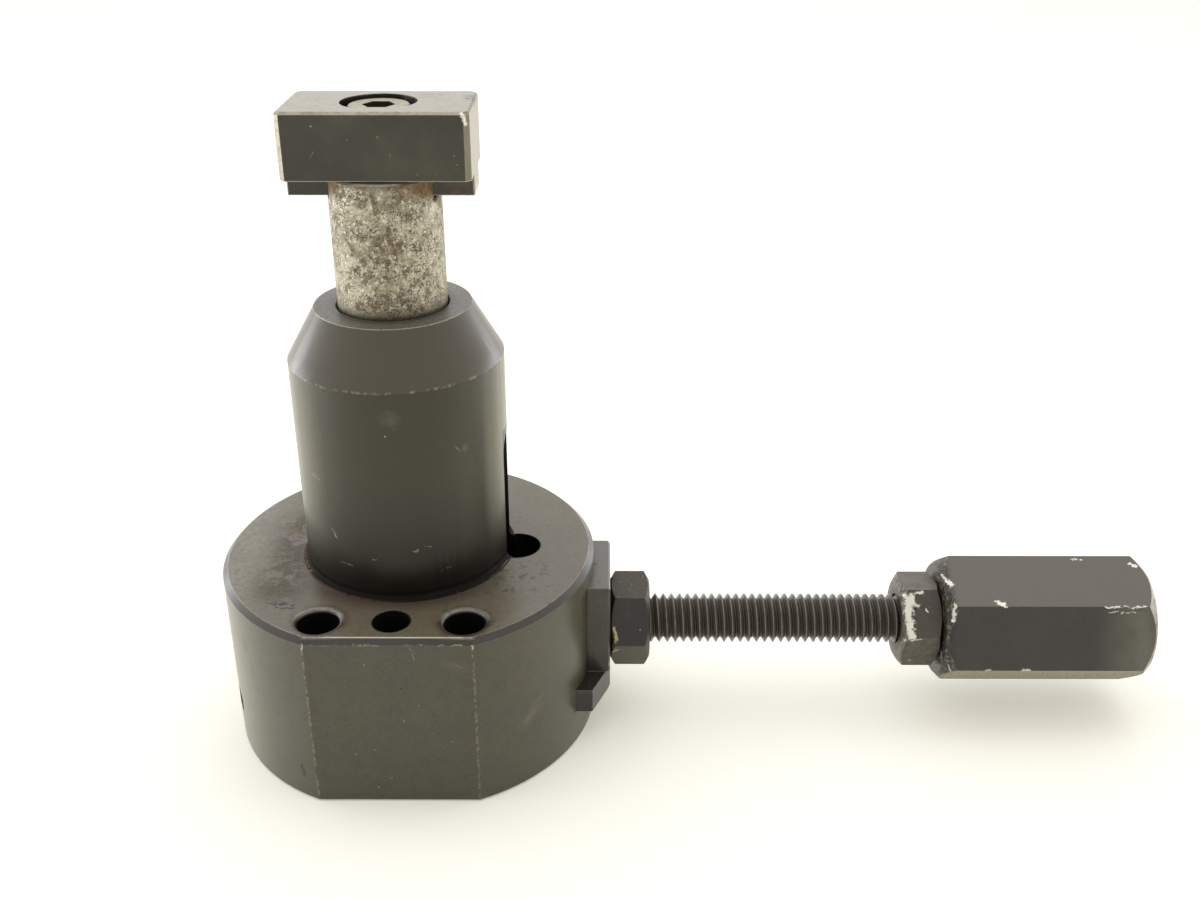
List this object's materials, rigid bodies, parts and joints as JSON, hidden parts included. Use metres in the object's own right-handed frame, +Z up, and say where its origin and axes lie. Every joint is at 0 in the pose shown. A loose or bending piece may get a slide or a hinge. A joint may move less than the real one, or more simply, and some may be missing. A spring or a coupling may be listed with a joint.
{
  "type": "adjustable work support",
  "caption": "Spring-lifted support post with a keyed rest block, locked at its height by a side screw with a long hexagon handle.",
  "frame": {"origin": "on the body's axis, at the plane the base stands on", "axes": "+Z up along the plunger, +X out along the hand screw, -Y towards the milled flat"},
  "size_m": [0.1762, 0.0667, 0.1186],
  "materials": {
    "black_oxide_body": "worn black oxide",
    "black_oxide_head": "black oxide, ground top",
    "black_oxide_plate": "black oxide",
    "ground_steel": "ground steel, pitted",
    "black_screw": "black oxide",
    "spring_steel": "drawn wire",
    "black_nut": "black paint, chipped",
    "brass_pad": "turned",
    "black_stud": "black oxide",
    "painted_handle": "black paint, chipped"
  },
  "bodies": {
    "base": {"body": "black_oxide_body", "side_plate": "black_oxide_plate", "inner_nut": "black_nut", "bottom_plug": "black_oxide_body", "lift_spring": "spring_steel"},
    "plunger": {"plunger": "ground_steel", "guide_pin": "ground_steel", "rest_head": "black_oxide_head", "head_screw": "black_screw"},
    "pad": {"pressure_pad": "brass_pad"},
    "hand_screw": {"lock_stud": "black_stud", "outer_nut": "black_nut", "handle": "painted_handle"}
  },
  "joints": [
    {"name": "plunger_slide", "type": "slide", "parent": "base", "child": "plunger", "axis": [0, 0, 1], "range_m": [-0.0095, 0], "stiffness_N_per_m": 1600, "springref_m": 0.01, "deforming": ["lift_spring"]},
    {"name": "pad_slide", "type": "slide", "parent": "base", "child": "pad", "axis": [1, 0, 0], "range_m": [-0.00039, 0.00317]},
    {"name": "hand_screw_turn", "type": "hinge", "parent": "pad", "child": "hand_screw", "pos_m": [0.018, 0, 0.0186], "axis": [1, 0, 0], "range_deg": [-90, 720]}
  ],
  "couplings": [
    {"joint": "hand_screw_turn", "follows": "pad_slide", "rad_per_m": 3957.9}
  ]
}
